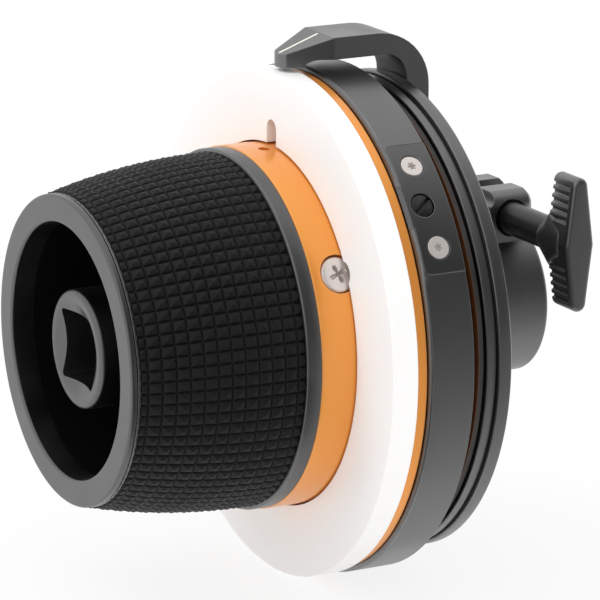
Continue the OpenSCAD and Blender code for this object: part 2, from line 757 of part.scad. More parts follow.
module pointer_screws() {
    color("#303030") for (s = [-1, 1])
        translate([s * pointer_screw_x, y_post_rear - pointer_screw_head_t, pointer_screw_z]) rotate([-90, 0, 0])
            difference() {
                union() {
                    cylinder(r = pointer_screw_head_r, h = pointer_screw_head_t);
                    translate([0, 0, -(post_t - pointer_screw_head_t) - 1.5])
                        cylinder(r = pointer_screw_r, h = post_t - pointer_screw_head_t + 1.5 + eps);
                }
                translate([0, 0, pointer_screw_head_t - 0.9]) cylinder(r = 1.15, h = 2, $fn = 6);
            }
}

// ---- Housing ----

module housing_flange() {
    r_groove = index_spigot_r - 1;
    y_ring = (y_index_front + y_index_rear) / 2;
    color("#424242") difference() {
        turned([
            [y_housing_tube, bearing_r + seat_fit], [y_housing_tube, housing_tube_r],
            [y_flange_front, housing_tube_r], [y_flange_front, flange_d / 2 - 0.2],
            [y_flange_front + 0.2, flange_d / 2], [y_flange_rear, flange_d / 2],
            [y_flange_rear, step_r], [y_step_rear, step_r], [y_step_rear, index_spigot_r],
            [y_ring - oring_r, index_spigot_r], [y_ring - oring_r, r_groove],
            [y_ring + oring_r, r_groove], [y_ring + oring_r, index_spigot_r],
            [y_hub_seat, index_spigot_r], [y_hub_seat, bearing_r + seat_fit],
            [y_bearing_rear - seat_fit, bearing_r + seat_fit], [y_bearing_rear - seat_fit, shoulder_r],
            [y_bearing_front + bearing_w + seat_fit, shoulder_r],
            [y_bearing_front + bearing_w + seat_fit, bearing_r + seat_fit]]);
        around(hub_screw_clocks) translate([hub_screw_pcr, y_hub_seat - 3.4, 0]) rotate([-90, 0, 0])
            cylinder(r = hub_screw_r + seat_fit, h = 5);
    }
}

// Dust seal: a wide lip towards the stop ring, on a narrower neck against the flange
module dust_seal() {
    neck = 0.3;
    r_in = land_d / 2 - land_wall;
    r_lip = flange_d / 2 - 0.6;
    r_neck = flange_d / 2 - 1.5;
    color("#202020") turned([
        [y_seal_front, r_in], [y_seal_front, r_lip], [y_flange_front - neck, r_lip],
        [y_flange_front - neck, r_neck], [y_flange_front, r_neck], [y_flange_front, r_in]]);
}

module index_o_ring() {
    color("black") o_ring((y_index_front + y_index_rear) / 2, index_spigot_r - 1 + oring_r - 0.02, oring_r - 0.04);
}

module front_outer_race() {
    color("silver") race(y_bearing_front, bearing_r, outer_race_r);
}

module front_balls() {
    color("silver") ball_set(y_bearing_front);
}

module rear_outer_race() {
    color("silver") race(y_bearing_rear, bearing_r, outer_race_r);
}

module rear_balls() {
    color("silver") ball_set(y_bearing_rear);
}

// ---- Rear hub clamp ----

// The ear on the +X side: rounded towards the handle, its rear edges chamfered
module ear() {
    x_round = ear_reach - ear_corner_r;
    z_round = ear_top_z - ear_corner_r;
    y_front = y_hub_rear - ear_len;
    y_edge = y_hub_rear - ear_edge;
    side_slab([[y_front, ear_root_z], [y_front, ear_top_z], [y_edge, ear_top_z],
               [y_hub_rear, ear_top_z - ear_edge], [y_hub_rear, ear_root_z]], 0, x_round);
    translate([0, 0, ear_root_z]) linear_extrude(z_round - ear_root_z)
        polygon([[x_round - ear_corner_r, y_front], [ear_reach, y_front], [ear_reach, y_edge],
                 [ear_reach - ear_edge, y_hub_rear], [x_round - ear_corner_r, y_hub_rear]]);
    translate([x_round, y_front, z_round]) rotate([-90, 0, 0]) {
        cylinder(r = ear_corner_r, h = ear_len - ear_edge);
        translate([0, 0, ear_len - ear_edge])
            cylinder(r1 = ear_corner_r, r2 = ear_corner_r - ear_edge, h = ear_edge);
    }
}

module hub_clamp() {
    edge = 0.4;
    rim = 0.8;
    fillet = 2;
    y_base_rear = y_hub_seat + hub_base_t;
    y_relief = y_bore_floor - relief_w / 2;
    color("#3a3a3a") difference() {
        union() {
            turned(concat(
                [[y_hub_seat, 0], [y_hub_seat, hub_base_r], [y_base_rear - edge, hub_base_r],
                 [y_base_rear, hub_base_r - edge]],
                arc([y_base_rear + fillet, hub_d / 2 + fillet], fillet, fillet, 180, 270, 6),
                arc([y_hub_rear - rim, hub_d / 2 - rim], rim, rim, 90, 0, 6), [[y_hub_rear, 0]]));
            ear();
            mirror([1, 0, 0]) ear();
        }
        tube(y_bore_floor, y_hub_rear + bore_cut, clamp_bore_d / 2);
        tube(y_hub_seat - bore_cut, y_bore_floor + bore_cut, spindle_r + 0.4);
        tube(y_hub_seat - bore_cut, y_spindle_clip + circlip_t + 0.6, spindle_r + 2.4);
        // slit along the bore, and a cross cut at its front that frees both jaws
        translate([-slit_w / 2, y_relief, 0]) cube([slit_w, clamp_bore_len + relief_w + 1, ear_top_z + 1]);
        translate([-hub_d / 2 - 1, y_relief, 0]) cube([hub_d + 2, relief_w, hub_d / 2 + 1]);
        // round notch in the near ear's front edge
        translate([slit_w / 2 - eps, y_hub_rear - ear_len - 0.8, ear_top_z - 0.5]) rotate([0, 90, 0])
            cylinder(r = notch_r, h = ear_reach);
        translate([0, y_clamp_screw, clamp_screw_z]) rotate([0, 90, 0]) {
            translate([0, 0, -ear_reach - bore_cut])
                cylinder(r = thread_r + 0.1, h = 2 * (ear_reach + bore_cut));
            translate([0, 0, -ear_reach - bore_cut]) cylinder(r = bush_r + seat_fit, h = bush_len + bore_cut);
            translate([0, 0, -ear_reach - bore_cut])
                cylinder(r = bush_flange_r + seat_fit, h = bush_flange_t + bore_cut);
            translate([0, 0, ear_reach - shank_seat]) cylinder(r = shank_seat_r, h = shank_seat + bore_cut);
        }
        around(hub_screw_clocks) translate([hub_screw_pcr, y_hub_seat - bore_cut, 0]) rotate([-90, 0, 0])
            cylinder(r = hub_screw_r + 0.1, h = hub_base_t + 2 * bore_cut);
    }
}

module hub_screws() {
    color("#303030") around(hub_screw_clocks)
        translate([hub_screw_pcr, y_hub_seat + hub_base_t, 0]) rotate([-90, 0, 0]) difference() {
            union() {
                cylinder(r = hub_screw_head_r, h = hub_screw_head_t);
                translate([0, 0, -hub_base_t - 3]) cylinder(r = hub_screw_r, h = hub_base_t + 3 + eps);
            }
            translate([0, 0, hub_screw_head_t - 0.9]) cylinder(r = 1.15, h = 2, $fn = 6);
        }
}

// Flanged bush, pressed into the far ear, that holds the clamp screw's thread
module threaded_bush() {
    color("silver") translate([-ear_reach, y_clamp_screw, clamp_screw_z]) rotate([0, 90, 0]) difference() {
        union() {
            cylinder(r = bush_flange_r, h = bush_flange_t);
            cylinder(r = bush_r, h = bush_len);
        }
        translate([0, 0, -bore_cut]) cylinder(r = thread_r + run_fit, h = bush_len + 2 * bore_cut);
    }
}

module thrust_washer() {
    color("goldenrod") translate([ear_reach - shank_seat, y_clamp_screw, clamp_screw_z]) rotate([0, 90, 0])
        difference() {
            cylinder(r = shank_seat_r - run_fit, h = washer_t);
            translate([0, 0, -bore_cut]) cylinder(r = thread_r + run_fit, h = washer_t + 2 * bore_cut);
        }
}

// ---- Clamp handle ----

module clamp_screw() {
    x_shank = ear_reach - shank_seat + washer_t + 0.05;
    x_tip = 0.6 - ear_reach;
    color("#2c2c2c") translate([0, y_clamp_screw, clamp_screw_z]) rotate([0, 90, 0]) union() {
        translate([0, 0, x_tip]) cylinder(r = thread_r, h = x_shank - x_tip + eps);
        translate([0, 0, x_shank]) cylinder(r = shank_r, h = tbar_base_x - x_shank + tbar_depth / 2);
    }
}

// Half width of the T-bar at a distance z from its middle
function tbar_half(z) = tbar_w / 2 - (tbar_w - tbar_end_w) / 2 * abs(z) / (tbar_len / 2 - tbar_end_w / 2);

// The T-bar's long hexagon with round ends, seen along the shank
tbar_outline = let (r = tbar_end_w / 2, c = tbar_len / 2 - r) concat(
    [[tbar_w / 2, 0]], arc([0, c], r, r, 0, 180, 10), [[-tbar_w / 2, 0]], arc([0, -c], r, r, 180, 360, 10));

module t_handle() {
    color("#2c2c2c") translate([0, y_clamp_screw, clamp_screw_z]) difference() {
        union() {
            translate([tbar_base_x, 0, 0]) rotate([90, 0, 90]) linear_extrude(tbar_depth) polygon(tbar_outline);
            // gusset from the shank to the bar
            translate([0, tbar_w / 2 - 0.1, 0]) rotate([90, 0, 0]) linear_extrude(tbar_w - 0.2)
                polygon([[tbar_base_x - gusset_len, -shank_r - 0.2], [tbar_base_x + eps, -gusset_z],
                         [tbar_base_x + eps, gusset_z], [tbar_base_x - gusset_len, shank_r + 0.2]]);
            translate([tbar_base_x - gusset_len, 0, 0]) rotate([0, 90, 0])
                cylinder(r = shank_r + 0.3, h = gusset_len + eps);
        }
        // grip grooves along both long sides, short of the end face
        for (k = [0:tbar_groove_count - 1], z_side = [-1, 1], y_side = [-1, 1])
            let (z = tbar_groove_z + k * tbar_pitch)
            translate([tbar_base_x - bore_cut, y_side * (tbar_half(z) + 0.1), z_side * z]) rotate([0, 90, 0])
                cylinder(r = tbar_groove_r, h = tbar_depth - tbar_cap_t + bore_cut, $fn = 24);
        translate([tbar_base_x - gusset_len - bore_cut, 0, 0]) rotate([0, 90, 0])
            cylinder(r = shank_r + seat_fit, h = gusset_len + bore_cut + tbar_depth / 2 + seat_fit);
    }
}

front_bezel();
cavity_liner();
socket_boss();
knob_core();
rubber_grip();
collar();
drum();
drum_screws();
disc_o_ring();
stop_circlip();
spindle();
spindle_bolt();
drive_pin();
drum_shim();
bearing_spacer();
spindle_circlip();
front_inner_race();
rear_inner_race();
marking_disc();
stop_ring();
bridge_plate();
bridge_screws();
brake_pad();
set_screw();
index_ring();
pointer_arm();
index_line();
pointer_screws();
housing_flange();
dust_seal();
index_o_ring();
front_outer_race();
front_balls();
rear_outer_race();
rear_balls();
hub_clamp();
hub_screws();
threaded_bush();
thrust_washer();
clamp_screw();
t_handle();
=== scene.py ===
"""Looks of a hand-held follow focus unit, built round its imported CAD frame.

The CAD nodes that already have the right shape keep it and get rounded-edge shading and a
real finish. The knurled grip, the T-handle and the bright screws are modelled here in full.
All sizes in the classes are millimetres in the part's own frame: +Y runs along the main axis
from the knob to the clamp, +Z is up and +X is the T-handle's side.
"""

from __future__ import annotations

import json
import logging
import math
from dataclasses import dataclass, field
from enum import Enum

import bmesh
import bpy
from mathutils import Matrix, Vector

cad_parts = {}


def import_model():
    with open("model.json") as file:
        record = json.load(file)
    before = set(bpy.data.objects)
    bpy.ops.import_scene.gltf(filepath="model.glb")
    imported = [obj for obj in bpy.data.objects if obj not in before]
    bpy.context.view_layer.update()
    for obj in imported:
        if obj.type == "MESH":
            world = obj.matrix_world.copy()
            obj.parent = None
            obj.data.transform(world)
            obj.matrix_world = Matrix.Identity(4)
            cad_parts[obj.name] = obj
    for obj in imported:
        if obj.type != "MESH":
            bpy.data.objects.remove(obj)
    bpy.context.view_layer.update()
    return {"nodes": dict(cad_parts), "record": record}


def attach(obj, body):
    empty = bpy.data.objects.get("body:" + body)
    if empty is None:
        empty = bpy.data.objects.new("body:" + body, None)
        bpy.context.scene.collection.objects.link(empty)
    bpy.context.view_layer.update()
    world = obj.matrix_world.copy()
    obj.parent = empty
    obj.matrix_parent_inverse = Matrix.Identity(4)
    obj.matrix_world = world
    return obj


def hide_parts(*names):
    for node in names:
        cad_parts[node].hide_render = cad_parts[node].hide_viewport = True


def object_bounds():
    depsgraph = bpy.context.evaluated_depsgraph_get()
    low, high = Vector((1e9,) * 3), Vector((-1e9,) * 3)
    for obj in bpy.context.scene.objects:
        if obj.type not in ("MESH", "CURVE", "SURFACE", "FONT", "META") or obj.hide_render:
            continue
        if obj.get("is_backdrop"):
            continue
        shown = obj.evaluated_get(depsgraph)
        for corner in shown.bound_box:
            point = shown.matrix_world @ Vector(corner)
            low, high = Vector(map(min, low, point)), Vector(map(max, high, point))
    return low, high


LOG = logging.getLogger("follow_focus")
MM = 0.001
Point = tuple[float, float, float]

# millimetres across the clouds in every finish and across the patches along its edges, which are wear on
# metal and a painted highlight on rubber
CLOUD_SIZE = 11.11
WEAR_AND_SHEEN_PATCH_SIZE = 2.38
# most of a noise texture's values lie between these
NOISE_LOW, NOISE_HIGH = 0.3, 0.7
# cosines of the angle between an edge's rounded and true normals where the paler edge colour starts and is
# full: wear on metal, a painted highlight on rubber
WEAR_AND_SHEEN_FROM, WEAR_AND_SHEEN_FULL = 0.97, 0.75
# how much of the paler edge colour (wear on metal, a painted highlight on rubber) and of the painted shade
# band's colour shows where each is full
WEAR_AND_SHEEN_SHARE = 0.7
PAINTED_SHADE_SHARE = 0.85
# the painted shade band's soft end, as a share of its width
PAINTED_SHADE_FADE = 0.3
# a wave texture of scale 1 repeats every pi/10 units
WAVE_UNIT = math.pi / 10
# a Mix node's sockets for colours, by number, because its kinds of value share their names
MIX_FIRST, MIX_SECOND, MIX_OUT = 6, 7, 2
# an edge that turns more than this stays crisp, where a piece has no angle of its own
SHARP_DEG = 30.0


# ---- Small helpers ----


def srgb(code: str) -> tuple[float, float, float, float]:
    """Turns an sRGB hex colour into Blender's linear colour.

    Args:
        code: the colour, such as "#e8943c".

    Returns:
        Linear red, green, blue and an alpha of 1.
    """
    channels = [int(code[i : i + 2], 16) / 255 for i in (1, 3, 5)]
    linear = [c / 12.92 if c <= 0.04045 else ((c + 0.055) / 1.055) ** 2.4 for c in channels]
    return (linear[0], linear[1], linear[2], 1.0)


def add_node(
    tree: bpy.types.NodeTree, kind: str, settings: dict | None = None, inputs: dict | None = None
) -> bpy.types.Node:
    """Adds one node with its settings, its values and its links.

    Args:
        tree: the node tree that gets it.
        kind: Blender's name for the node's type.
        settings: the node's own properties, by name.
        inputs: a value or another node's output for each socket, by name or number.

    Returns:
        The new node.
    """
    node = tree.nodes.new(kind)
    for name, value in (settings or {}).items():
        setattr(node, name, value)
    for name, value in (inputs or {}).items():
        if isinstance(value, bpy.types.NodeSocket):
            tree.links.new(value, node.inputs[name])
        else:
            node.inputs[name].default_value = value
    return node


def circle(radius: float, count: int) -> list[tuple[float, float]]:
    """Evenly spaced points on a circle of that radius round the origin."""
    angles = [2 * math.pi * i / count for i in range(count)]
    return [(radius * math.cos(a), radius * math.sin(a)) for a in angles]


def mesh_piece(
    name: str, points: list[Point], faces: list[tuple[int, ...]], sharp_deg: float = SHARP_DEG
) -> bpy.types.Object:
    """Makes a mesh object from points in millimetres, smooth but for its sharp edges.

    Args:
        name: the piece's name.
        points: its vertices.
        faces: its faces as vertex numbers.
        sharp_deg: an edge that turns more than this stays crisp.

    Returns:
        The new object, linked to the scene.
    """
    mesh = bpy.data.meshes.new(name)
    mesh.from_pydata([Vector(p) * MM for p in points], [], faces)
    obj = bpy.data.objects.new(name, mesh)
    bpy.context.scene.collection.objects.link(obj)
    crisp_edges(obj, sharp_deg)
    return obj


def crisp_edges(obj: bpy.types.Object, sharp_deg: float = SHARP_DEG) -> None:
    """Turns an object's faces outwards, smooths them and marks its sharp edges.

    Args:
        obj: the mesh object.
        sharp_deg: an edge that turns more than this is marked sharp.
    """
    work = bmesh.new()
    work.from_mesh(obj.data)
    bmesh.ops.recalc_face_normals(work, faces=work.faces)
    for face in work.faces:
        face.smooth = True
    for edge in work.edges:
        edge.smooth = edge.calc_face_angle(0.0) < math.radians(sharp_deg)
    work.to_mesh(obj.data)
    work.free()
    obj.data.update()


def combine(target: bpy.types.Object, tool: bpy.types.Object, operation: str) -> None:
    """Joins or cuts one mesh with another, and removes the tool.

    Args:
        target: the object that is kept.
        tool: the object that is added to it or cut from it.
        operation: "UNION" or "DIFFERENCE".
    """
    step = target.modifiers.new("combine", "BOOLEAN")
    step.operation = operation
    step.solver = "EXACT"
    step.object = tool
    graph = bpy.context.evaluated_depsgraph_get()
    made = bpy.data.meshes.new_from_object(target.evaluated_get(graph))
    target.modifiers.clear()
    target.data = made
    bpy.data.objects.remove(tool)


def stack(name: str, rings: list[list[Point]], sharp_deg: float = SHARP_DEG) -> bpy.types.Object:
    """Skins a closed body over a stack of rings with the same number of points.

    Args:
        name: the piece's name.
        rings: the closed outlines in order. The first and the last are capped.
        sharp_deg: an edge that turns more than this stays crisp.

    Returns:
        The new object.
    """
    count = len(rings[0])
    points = [p for ring in rings for p in ring]
    faces: list[tuple[int, ...]] = [tuple(range(count))]
    for row in range(len(rings) - 1):
        for i in range(count):
            j = (i + 1) % count
            a, b = row * count, (row + 1) * count
            faces.append((a + i, a + j, b + j, b + i))
    last = (len(rings) - 1) * count
    faces.append(tuple(last + i for i in reversed(range(count))))
    return mesh_piece(name, points, faces, sharp_deg)


# ---- Finishes ----


class Making(Enum):
    """How a surface was made, which sets the pattern it shows."""

    BLASTED = "bead-blasted"
    TURNED = "turned on a lathe"
    MOULDED = "moulded"
    POLISHED = "ground and polished"


@dataclass(frozen=True)
class Finish:
    """One real finish: what it is made of, how it was made and what it shows.

    The grain is in millimetres. One finer than 0.3 mm is drawn at 0.3 mm, because a pixel of
    the picture is about 0.16 mm wide.
    """

    title: str
    making: Making
    colour: str
    second_colour: str
    roughness: float
    metallic: float = 0.0
    roughness_spread: float = 0.06
    grain: float = 0.4
    relief: float = 0.002
    edge_colour: str = ""
    edge_radius: float = 0.25
    specular: float = 0.5
    coat: float = 0.0
    coat_roughness: float = 0.2
    subsurface: float = 0.0
    scatter_depth: float = 1.5
    # along Y, where the piece starts and where a band of painted shade ends, and that band's colour
    stain: tuple[float, float, str] | None = None

    def build(self) -> bpy.types.Material:
        """Makes the node material.

        Returns:
            The material, named for what the finish is.
        """
        material = bpy.data.materials.new(self.title)
        material.use_nodes = True
        tree = material.node_tree
        shader = tree.nodes["Principled BSDF"]
        shader.inputs["Metallic"].default_value = self.metallic
        shader.inputs["Specular IOR Level"].default_value = self.specular
        shader.inputs["Coat Weight"].default_value = self.coat
        shader.inputs["Coat Roughness"].default_value = self.coat_roughness
        shader.inputs["Subsurface Weight"].default_value = self.subsurface
        shader.inputs["Subsurface Scale"].default_value = self.scatter_depth * MM
        place = add_node(tree, "ShaderNodeTexCoord").outputs["Object"]
        soft = add_node(
            tree,
            "ShaderNodeTexNoise",
            {},
            {"Vector": place, "Scale": 1.0 / (CLOUD_SIZE * MM), "Detail": 3.0},
        ).outputs["Fac"]
        tree.links.new(self.colours(tree, place, soft), shader.inputs["Base Color"])
        spread = add_node(
            tree,
            "ShaderNodeMapRange",
            {},
            {
                "Value": soft,
                "From Min": NOISE_LOW,
                "From Max": NOISE_HIGH,
                "To Min": self.roughness - self.roughness_spread,
                "To Max": self.roughness + self.roughness_spread,
            },
        )
        tree.links.new(spread.outputs["Result"], shader.inputs["Roughness"])
        tree.links.new(self.surface(tree, place), shader.inputs["Normal"])
        return material

    def colours(
        self, tree: bpy.types.NodeTree, place: bpy.types.NodeSocket, soft: bpy.types.NodeSocket
    ) -> bpy.types.NodeSocket:
        """Adds the colour: two near tones in soft clouds, and a paler one along edges, which is wear on
        metal and a painted highlight on rubber.

        Args:
            tree: the material's nodes.
            place: the object coordinates.
            soft: a slow noise.

        Returns:
            The colour output.
        """
        clouds = add_node(
            tree,
            "ShaderNodeMix",
            {"data_type": "RGBA"},
            {"Factor": soft, MIX_FIRST: srgb(self.colour), MIX_SECOND: srgb(self.second_colour)},
        ).outputs[MIX_OUT]
        # a band of painted shade, where a finish has one
        if self.stain:
            clouds = self.stained(tree, place, clouds)
        if not self.edge_colour:
            return clouds
        # the rounded normal leaves the true one only beside an edge, where the paler colour is wear on metal
        # and a painted highlight on rubber
        rounded = add_node(
            tree, "ShaderNodeBevel", {"samples": 4}, {"Radius": self.edge_radius * MM}
        ).outputs["Normal"]
        true = add_node(tree, "ShaderNodeNewGeometry").outputs["True Normal"]
        along = add_node(tree, "ShaderNodeVectorMath", {"operation": "DOT_PRODUCT"}, {0: rounded, 1: true})
        wear_and_sheen = add_node(
            tree,
            "ShaderNodeMapRange",
            {"interpolation_type": "SMOOTHSTEP"},
            {
                "Value": along.outputs["Value"],
                "From Min": WEAR_AND_SHEEN_FROM,
                "From Max": WEAR_AND_SHEEN_FULL,
                "To Min": 0.0,
                "To Max": WEAR_AND_SHEEN_SHARE,
            },
        ).outputs["Result"]
        wear_and_sheen_patches = add_node(
            tree,
            "ShaderNodeTexNoise",
            {},
            {"Vector": place, "Scale": 1.0 / (WEAR_AND_SHEEN_PATCH_SIZE * MM), "Detail": 2.0},
        ).outputs["Fac"]
        amount = add_node(tree, "ShaderNodeMath", {"operation": "MULTIPLY"}, {0: wear_and_sheen, 1: wear_and_sheen_patches})
        return add_node(
            tree,
            "ShaderNodeMix",
            {"data_type": "RGBA"},
            {"Factor": amount.outputs[0], MIX_FIRST: clouds, MIX_SECOND: srgb(self.edge_colour)},
        ).outputs[MIX_OUT]

    def stained(
        self, tree: bpy.types.NodeTree, place: bpy.types.NodeSocket, plain_colour: bpy.types.NodeSocket
    ) -> bpy.types.NodeSocket:
        """Paints shade in front of a station along the main axis: a darker colour that stands for shadow
        there.

        Args:
            tree: the material's nodes.
            place: the object coordinates.
            plain_colour: the colour elsewhere.

        Returns:
            The colour output.
        """
        start, end, colour = self.stain
        y = add_node(tree, "ShaderNodeSeparateXYZ", {}, {0: place}).outputs["Y"]
        fade = (end - start) * PAINTED_SHADE_FADE
        inside = add_node(
            tree,
            "ShaderNodeMapRange",
            {"interpolation_type": "SMOOTHSTEP"},
            {
                "Value": y,
                "From Min": (end + fade) * MM,
                "From Max": (end - fade) * MM,
                "To Min": 0.0,
                "To Max": PAINTED_SHADE_SHARE,
            },
        ).outputs["Result"]
        return add_node(
            tree,
            "ShaderNodeMix",
            {"data_type": "RGBA"},
            {"Factor": inside, MIX_FIRST: plain_colour, MIX_SECOND: srgb(colour)},
        ).outputs[MIX_OUT]

    def surface(self, tree: bpy.types.NodeTree, place: bpy.types.NodeSocket) -> bpy.types.NodeSocket:
        """Adds the relief: fine grain, with tool marks round the axis on turned metal.

        Args:
            tree: the material's nodes.
            place: the object coordinates.

        Returns:
            The normal output.
        """
        height = add_node(
            tree,
            "ShaderNodeTexNoise",
            {},
            {"Vector": place, "Scale": 1.0 / (self.grain * MM), "Detail": 2.0},
        ).outputs["Fac"]
        if self.making is Making.TURNED:
            scale = WAVE_UNIT / (self.grain * MM)
            marks = {"Vector": place, "Scale": scale, "Distortion": 0.6, "Detail": 2.0}
            for kind in ({"wave_type": "RINGS", "rings_direction": "Y"}, {"bands_direction": "Y"}):
                wave = add_node(tree, "ShaderNodeTexWave", kind, marks).outputs["Fac"]
                both = add_node(tree, "ShaderNodeMath", {"operation": "ADD"}, {0: height, 1: wave})
                height = both.outputs[0]
        bump = {"Height": height, "Distance": self.relief * MM, "Strength": 1.0}
        if self.edge_colour:
            bump["Normal"] = add_node(
                tree, "ShaderNodeBevel", {"samples": 6}, {"Radius": self.edge_radius * MM}
            ).outputs["Normal"]
        return add_node(tree, "ShaderNodeBump", {}, bump).outputs["Normal"]


class Slot(Enum):
    """The record's material slots and the finish that each one gets."""

    # black dye in a thin oxide: little scatter, and a dark mirror that the blasting blurs
    black_anodised = Finish(
        "black anodised aluminium, bead-blasted", Making.BLASTED, "#747475", "#7c7c7d", 0.36, metallic=1.0,
        grain=0.3, relief=0.0012, edge_colour="#c4c4c4",
    )
    # the same dye over a finely turned face, with rings round the axis
    grey_anodised = Finish(
        "dark grey anodised aluminium, turned", Making.TURNED, "#666667", "#6e6e6f", 0.34, metallic=1.0,
        grain=0.45, relief=0.0004, edge_colour="#c8c8c8",
    )
    # orange dye in clear oxide lets the metal's own shine through
    orange_anodised = Finish(
        "orange anodised aluminium, turned", Making.TURNED, "#ef973a", "#f29f44", 0.34, metallic=0.4,
        grain=0.5, relief=0.0005, edge_colour="#f8d2a4", coat=0.4,
    )
    # a deep, wet-looking black that shows almost nothing but reflections
    gloss_black = Finish(
        "black ABS, moulded glossy", Making.MOULDED, "#0c0c0c", "#0f0f0f", 0.14,
        roughness_spread=0.03, grain=2.0, relief=0.001,
    )
    # vulcanised rubber is dead matte; its paler edges are a painted highlight on the pyramids' tips
    knob_rubber = Finish(
        "black nitrile rubber, moulded", Making.MOULDED, "#0c0c0c", "#121212", 0.56,
        grain=0.35, relief=0.01, edge_colour="#262626", edge_radius=0.1, specular=0.3,
    )
    # an extruded band, coarser and greyer, with painted shade along its front edge: brown for the orange
    # drum in shadow behind the stop ring
    seal_rubber = Finish(
        "black nitrile rubber, extruded", Making.MOULDED, "#1d1b1a", "#4b4643", 0.6,
        grain=0.3, relief=0.02, specular=0.5, stain=(-28.6, -28.38, "#5a3215"),
    )
    # a writing surface: smooth, faintly translucent and hardly glossy
    disc_plastic = Finish(
        "white acetal, satin", Making.MOULDED, "#faf9f8", "#fcfbfa", 0.42,
        grain=0.5, relief=0.0015, subsurface=0.08,
    )
    # paint wiped into an engraved line, a little rough
    line_paint = Finish(
        "white enamel fill", Making.MOULDED, "#e6e1d8", "#efebe4", 0.5, grain=0.3, relief=0.006
    )
    # undyed acetal is ivory and waxy
    acetal = Finish("natural acetal", Making.MOULDED, "#d9d6cc", "#e0ddd4", 0.45, grain=0.5, relief=0.003)
    # stainless steel is pale and faintly warm, and turned too finely for its rings to show
    bright_steel = Finish(
        "stainless steel, turned", Making.POLISHED, "#dcd4cf", "#e4ddd9", 0.3, metallic=0.55,
        grain=0.3, relief=0.0008, edge_colour="#efebe8", edge_radius=0.12,
    )
    # phosphate leaves hardened strip dull and brownish grey
    spring_steel = Finish(
        "spring steel, phosphated", Making.BLASTED, "#4a4846", "#55524f", 0.42, metallic=0.8,
        grain=0.3, relief=0.003,
    )
    # lapped until it mirrors
    bearing_steel = Finish(
        "chrome bearing steel, polished", Making.POLISHED, "#c4c4c6", "#cececf", 0.12, metallic=1.0,
        roughness_spread=0.03, grain=1.0, relief=0.0003,
    )
    # oiled black oxide, worn grey along edges
    black_steel = Finish(
        "steel, black oxide", Making.BLASTED, "#161617", "#1f1f20", 0.32, metallic=0.3,
        grain=0.3, relief=0.0015, edge_colour="#5c5a58",
    )


class Paints:
    """Builds each slot's material once, and puts it on pieces."""

    def __init__(self) -> None:
        """Starts with no material made."""
        self.made: dict[Slot, bpy.types.Material] = {}

    def dress(self, obj: bpy.types.Object, slot: Slot) -> None:
        """Gives one object a slot's material in place of its own.

        Args:
            obj: a CAD node or a piece made here.
            slot: the record's slot.
        """
        if slot not in self.made:
            self.made[slot] = slot.value.build()
        obj.data.materials.clear()
        obj.data.materials.append(self.made[slot])


# ---- CAD nodes that stay ----


@dataclass
class FrameDressing:
    """Puts finishes and rounded-edge shading on the CAD nodes that keep their shape."""

    record: dict
    nodes: dict[str, bpy.types.Object]
    weld: float = 0.001
    sharp_deg: float = 50.0
    # the pointer's faces meet at shallow angles and stay crisp
    crisp: dict[str, float] = field(default_factory=lambda: {"pointer_arm": 14.0, "bridge_plate": 30.0})

    def smoother(self) -> bpy.types.NodeTree:
        """Makes the geometry nodes that weld a CAD mesh and smooth its shallow edges.

        Returns:
            The node group, whose second input is the sharp angle.
        """
        tree = bpy.data.node_groups.new("smooth_shallow_edges", "GeometryNodeTree")
        face = tree.interface
        face.new_socket("Geometry", in_out="INPUT", socket_type="NodeSocketGeometry")
        face.new_socket("Sharp Angle", in_out="INPUT", socket_type="NodeSocketFloat")
        face.new_socket("Geometry", in_out="OUTPUT", socket_type="NodeSocketGeometry")
        start = add_node(tree, "NodeGroupInput")
        bare = add_node(
            tree, "GeometryNodeRemoveAttribute", {}, {0: start.outputs[0], "Name": "custom_normal"}
        )
        welded = add_node(
            tree, "GeometryNodeMergeByDistance", {}, {0: bare.outputs[0], "Distance": self.weld * MM}
        )
        smooth = add_node(tree, "GeometryNodeSetShadeSmooth", {"domain": "FACE"}, {0: welded.outputs[0]})
        angle = add_node(tree, "GeometryNodeInputMeshEdgeAngle").outputs["Unsigned Angle"]
        shallow = add_node(
            tree,
            "FunctionNodeCompare",
            {"data_type": "FLOAT", "operation": "LESS_THAN"},
            {0: angle, 1: start.outputs[1]},
        )
        edges = add_node(
            tree,
            "GeometryNodeSetShadeSmooth",
            {"domain": "EDGE"},
            {0: smooth.outputs[0], "Shade Smooth": shallow.outputs[0]},
        )
        add_node(tree, "NodeGroupOutput", {}, {0: edges.outputs[0]})
        return tree

    def dress(self, paints: Paints) -> None:
        """Dresses every CAD node from the record's slots.

        Args:
            paints: the finishes.
        """
        group = self.smoother()
        for part in self.record["subparts"]:
            name = part["node"]
            node = self.nodes[name]
            paints.dress(node, Slot[part["material_slot"]])
            step = node.modifiers.new("smooth", "NODES")
            step.node_group = group
            socket = group.interface.items_tree["Sharp Angle"].identifier
            step[socket] = math.radians(self.crisp.get(name, self.sharp_deg))
            even = node.modifiers.new("even_normals", "WEIGHTED_NORMAL")
            even.mode = "FACE_AREA"
            even.keep_sharp = True
            LOG.info("dressed %s", name)


# ---- Grip ----


